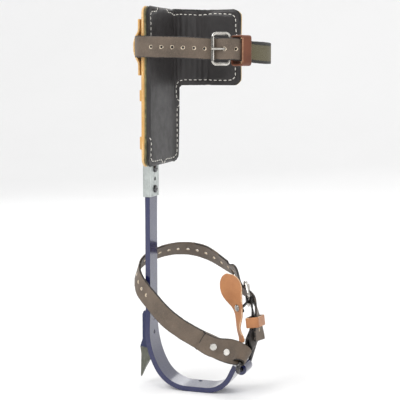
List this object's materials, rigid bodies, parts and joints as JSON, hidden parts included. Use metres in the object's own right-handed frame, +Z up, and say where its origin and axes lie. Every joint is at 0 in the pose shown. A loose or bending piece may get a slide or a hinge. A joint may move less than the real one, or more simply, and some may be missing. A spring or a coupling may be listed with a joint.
{
  "type": "tree climbing spur",
  "caption": "Steel leg iron with a stirrup and a gaff, an adjustable sleeve with a padded calf trough, and two buckled leather straps.",
  "frame": {"origin": "centre of the stirrup tread's top face, where the boot rests", "axes": "+Z up the shank, +X from the shank to the stirrup's outer end, +Y to the side that the pad's arm wraps round"},
  "size_m": [0.1672, 0.1551, 0.4722],
  "materials": {
    "painted_steel": "gloss navy enamel",
    "bare_steel": "ground forged steel",
    "screw_steel": "dark zinc",
    "sleeve_steel": "satin zinc",
    "nickel": "polished nickel plate",
    "black_leather": "smooth black leather",
    "felt": "olive felt",
    "tan_leather": "natural tan leather",
    "brown_leather": "grey-brown strap leather",
    "olive_web": "olive woven lining",
    "red_leather": "red-brown leather",
    "chafe_leather": "russet tan leather",
    "dark_leather": "dark brown leather",
    "ring_steel": "black oxide wire"
  },
  "bodies": {
    "iron": {"leg_iron": "painted_steel", "gaff": "bare_steel", "gaff_screws": "screw_steel"},
    "upper": {"sleeve": "sleeve_steel", "sleeve_screws": "screw_steel", "pad_face": "black_leather", "pad_felt": "felt", "pad_back": "tan_leather", "pad_loop_upper": "tan_leather", "pad_loop_lower": "tan_leather", "pad_loop_rivets": "nickel", "strap_tunnel": "tan_leather", "tunnel_rivets": "nickel", "calf_strap": "brown_leather", "calf_lining": "olive_web", "calf_join_rivets": "nickel", "calf_buckle": "nickel"},
    "calf_roller_body": {"calf_roller": "nickel"},
    "calf_prong_body": {"calf_prong": "nickel"},
    "calf_keeper_body": {"calf_keeper": "red_leather"},
    "ankle_loop": {"strap_ring": "ring_steel", "ankle_strap": "brown_leather", "ankle_strap_rivets": "nickel", "ankle_buckle_strap": "dark_leather", "ankle_buckle": "nickel", "ankle_chafe": "chafe_leather", "chafe_rivet": "nickel"},
    "ankle_roller_body": {"ankle_roller": "nickel"},
    "ankle_prong_body": {"ankle_prong": "nickel"},
    "ankle_keeper_body": {"ankle_keeper": "chafe_leather"}
  },
  "joints": [
    {"name": "sleeve_adjust", "type": "slide", "parent": "iron", "child": "upper", "axis": [0, 0, 1], "range_m": [-0.0762, 0.0127]},
    {"name": "strap_ring_swing", "type": "hinge", "parent": "iron", "child": "ankle_loop", "pos_m": [0.054, 0, 0.026], "axis": [0, 1, 0], "range_deg": [-22, 1]},
    {"name": "calf_roller_spin", "type": "hinge", "parent": "upper", "child": "calf_roller_body", "pos_m": [0.02584, -0.0405, 0.4145], "axis": [0, 0, 1], "continuous": true},
    {"name": "calf_prong_lift", "type": "hinge", "parent": "upper", "child": "calf_prong_body", "pos_m": [0.04316, -0.0305, 0.4145], "axis": [0, 0, 1], "range_deg": [0, 3]},
    {"name": "calf_keeper_slide", "type": "slide", "parent": "upper", "child": "calf_keeper_body", "axis": [0.5524, 0.8336, 0], "range_m": [-0.001, 0.0015]},
    {"name": "ankle_roller_spin", "type": "hinge", "parent": "ankle_loop", "child": "ankle_roller_body", "pos_m": [0.0485, 0.02451, 0.12171], "axis": [-0.2325, 0.8074, -0.5423], "continuous": true},
    {"name": "ankle_prong_lift", "type": "hinge", "parent": "ankle_loop", "child": "ankle_prong_body", "pos_m": [0.0555, 0.01549, 0.10529], "axis": [-0.2325, 0.8074, -0.5423], "range_deg": [0, 3]},
    {"name": "ankle_keeper_slide", "type": "slide", "parent": "ankle_loop", "child": "ankle_keeper_body", "axis": [0.1387, -0.0993, -0.9853], "range_m": [-0.0012, 0.0006]}
  ]
}
